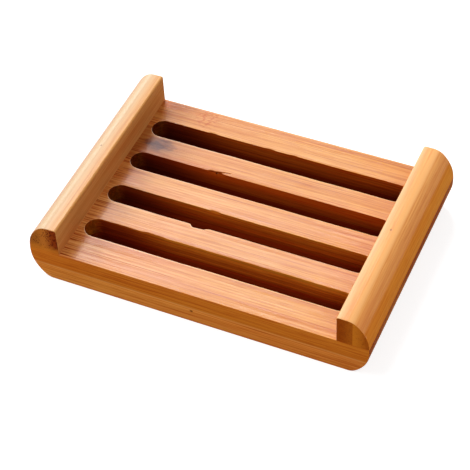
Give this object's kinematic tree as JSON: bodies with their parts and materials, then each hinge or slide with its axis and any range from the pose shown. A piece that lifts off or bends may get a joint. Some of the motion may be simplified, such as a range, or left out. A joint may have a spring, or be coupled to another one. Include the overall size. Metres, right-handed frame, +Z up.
{
  "type": "soap dish",
  "caption": "Low rectangular bamboo soap dish: a slotted two-layer board that lets water drain, with a rounded rail glued across each end to keep the bar of soap in place.",
  "frame": {"origin": "middle of the underside, on the surface that the dish stands on", "axes": "+X along the length, towards the right rail; +Y from the front to the back; +Z up"},
  "size_m": [0.11, 0.075, 0.022],
  "materials": {
    "bamboo_upper_layer": "carbonised bamboo, satin lacquer, grain along X",
    "bamboo_lower_layer": "carbonised bamboo, satin lacquer, grain along X",
    "bamboo_rail": "carbonised bamboo, satin lacquer, grain along Y"
  },
  "bodies": {
    "root": {"upper_strip_1": "bamboo_upper_layer", "upper_strip_2": "bamboo_upper_layer", "upper_strip_3": "bamboo_upper_layer", "upper_strip_4": "bamboo_upper_layer", "upper_strip_5": "bamboo_upper_layer", "lower_strip_1": "bamboo_lower_layer", "lower_strip_2": "bamboo_lower_layer", "lower_strip_3": "bamboo_lower_layer", "lower_strip_4": "bamboo_lower_layer", "left_rail_inner_leaf": "bamboo_rail", "left_rail_outer_leaf": "bamboo_rail", "right_rail_inner_leaf": "bamboo_rail", "right_rail_outer_leaf": "bamboo_rail"}
  },
  "joints": []
}
